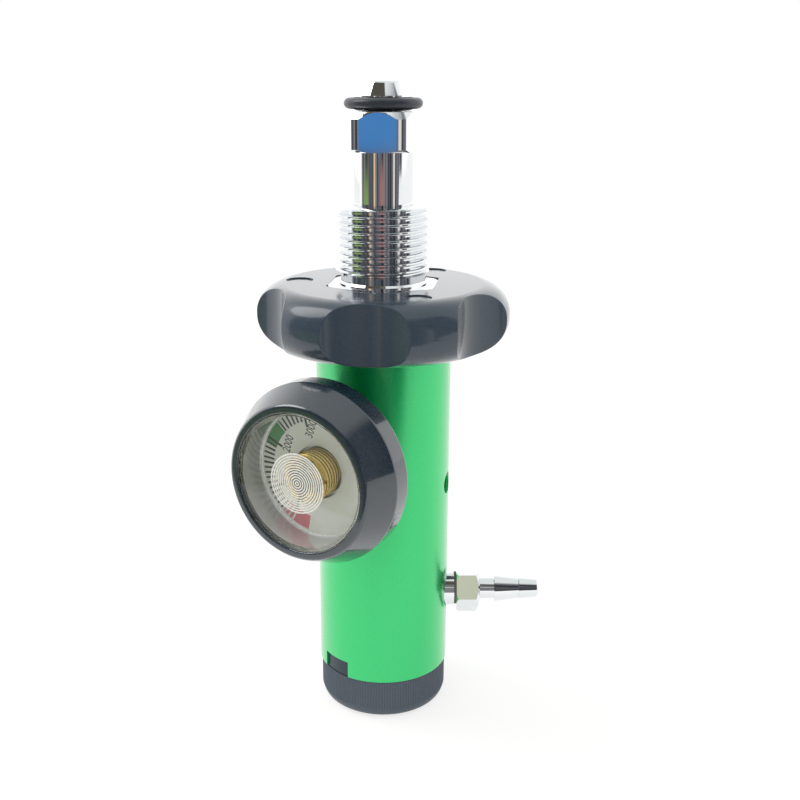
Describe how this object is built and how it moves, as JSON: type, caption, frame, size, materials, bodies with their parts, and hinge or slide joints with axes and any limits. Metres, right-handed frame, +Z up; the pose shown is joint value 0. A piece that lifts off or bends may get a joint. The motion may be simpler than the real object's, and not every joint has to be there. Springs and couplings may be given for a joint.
{
  "type": "oxygen regulator",
  "caption": "Cylinder-valve oxygen regulator with a handwheel inlet nut, a booted pressure gauge, a side hose barb and a click flow selector at the base.",
  "frame": {"origin": "centre of the flow knob's flat bottom face, on which the regulator stands", "axes": "+Z up the common axis to the inlet nose, +X along the outlet's hose barb; the gauge looks towards -Y, turned 29.7 degrees to -X"},
  "size_m": [0.0752, 0.0725, 0.1559],
  "materials": {
    "anodised_green": "anodised, satin gloss",
    "machined_aluminium": "turned",
    "chrome_plate": "polished",
    "turned_brass": "turned",
    "sintered_bronze": "porous",
    "bright_steel": "bright",
    "black_rubber": "moulded, semi-gloss",
    "moulded_black": "moulded, gloss",
    "ribbed_black": "moulded, satin",
    "seat_polymer": "turned",
    "dial_white": "printed",
    "pointer_black": "painted",
    "clear_lens": "clear, polished"
  },
  "bodies": {
    "regulator": {"bearing_plate": "machined_aluminium", "body_seal": "black_rubber", "bourdon_coil": "turned_brass", "detent_ball": "bright_steel", "detent_spring": "bright_steel", "gauge_boot": "black_rubber", "gauge_case": "bright_steel", "gauge_dial": "dial_white", "gauge_lens": "clear_lens", "gauge_stem": "turned_brass", "gauge_washer": "black_rubber", "inlet_filter": "sintered_bronze", "inlet_nipple": "chrome_plate", "lower_body": "machined_aluminium", "nipple_seal": "black_rubber", "nose_seal": "black_rubber", "outer_sleeve": "anodised_green", "outlet_barb": "chrome_plate", "outlet_collar": "chrome_plate", "outlet_washer": "black_rubber", "piston_spring": "bright_steel", "plate_screws": "bright_steel", "port_seal": "black_rubber", "seat_nozzle": "turned_brass", "shaft_seal": "black_rubber", "stem_seal": "black_rubber", "upper_body": "machined_aluminium"},
    "selector": {"flow_knob": "ribbed_black", "knob_cap": "ribbed_black", "selector_shaft": "bright_steel", "orifice_plate": "turned_brass", "knob_screw": "bright_steel"},
    "piston": {"piston": "turned_brass", "valve_seat": "seat_polymer", "piston_seal": "black_rubber"},
    "washer": {"thrust_washer": "seat_polymer"},
    "nut": {"coupling_nut": "chrome_plate", "handwheel": "moulded_black"},
    "pointer": {"gauge_pointer": "pointer_black"}
  },
  "joints": [
    {"name": "flow_select", "type": "hinge", "parent": "regulator", "child": "selector", "pos_m": [0, 0, 0], "axis": [0, 0, 1], "range_deg": [0, 330]},
    {"name": "piston_stroke", "type": "slide", "parent": "regulator", "child": "piston", "axis": [0, 0, 1], "range_m": [0, 0.00075], "stiffness_N_per_m": 15000, "springref_m": -0.003, "deforming": ["piston_spring"]},
    {"name": "nut_slide", "type": "slide", "parent": "regulator", "child": "washer", "axis": [0, 0, 1], "range_m": [0, 0.012]},
    {"name": "nut_turn", "type": "hinge", "parent": "washer", "child": "nut", "pos_m": [0, 0, 0.11], "axis": [0, 0, 1], "continuous": true},
    {"name": "pressure_sweep", "type": "hinge", "parent": "regulator", "child": "pointer", "pos_m": [0, 0, 0.07085], "axis": [0.4955, 0.8686, 0], "range_deg": [0, 151], "stiffness_Nm_per_rad": 0.0005, "springref_deg": -5.73}
  ]
}
